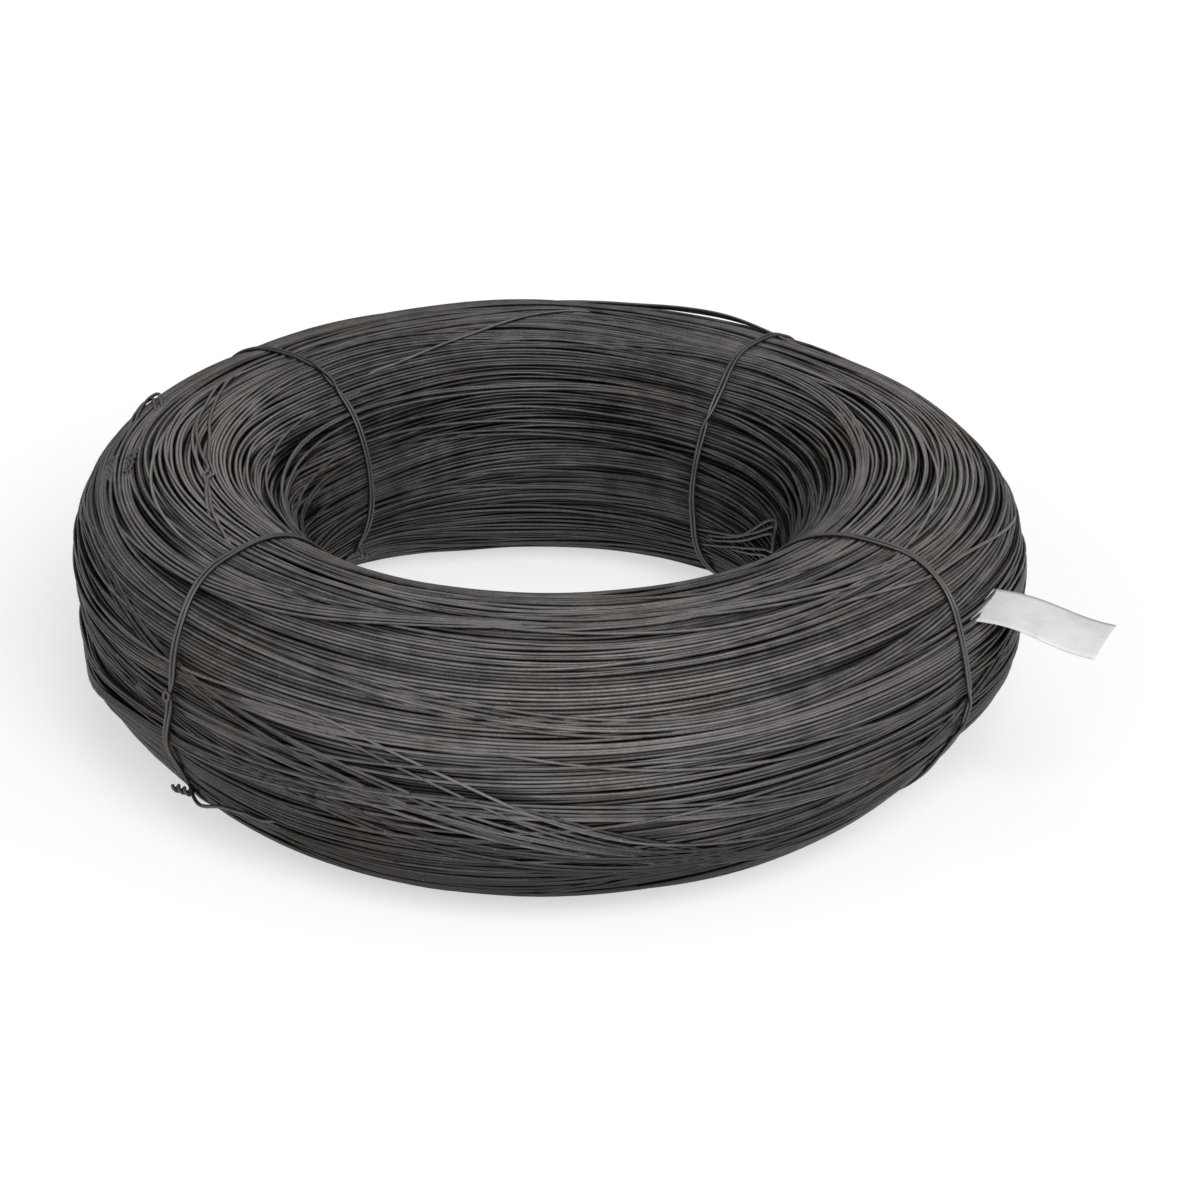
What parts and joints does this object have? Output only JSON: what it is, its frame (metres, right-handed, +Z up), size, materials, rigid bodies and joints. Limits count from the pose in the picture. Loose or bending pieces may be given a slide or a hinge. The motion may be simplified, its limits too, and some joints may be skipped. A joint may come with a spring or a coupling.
{
  "type": "coil of annealed wire",
  "caption": "Loose ring-shaped coil of dark annealed steel wire lying flat, held by doubled wire ties with twisted tails, with a plain tag tucked between the turns.",
  "frame": {"origin": "on the coil's axis, at the middle of the straight bore wall, 78 mm above the floor that the coil lies on", "axes": "+Z up along the coil's axis, -Y towards the camera of the picture, +X to the right in it"},
  "size_m": [0.5079, 0.476, 0.1401],
  "materials": {
    "wire": "matte dark grey annealing oxide with a slight brown tinge",
    "tie_wire": "matte grey annealing oxide, a little lighter where it was bent",
    "tag": "white coated paper, bare"
  },
  "bodies": {
    "root": {"wire_coil": "wire", "tie_front_left": "tie_wire", "tie_front_right": "tie_wire", "tie_back_right": "tie_wire", "tie_back_left": "tie_wire", "tag": "tag"}
  },
  "joints": []
}
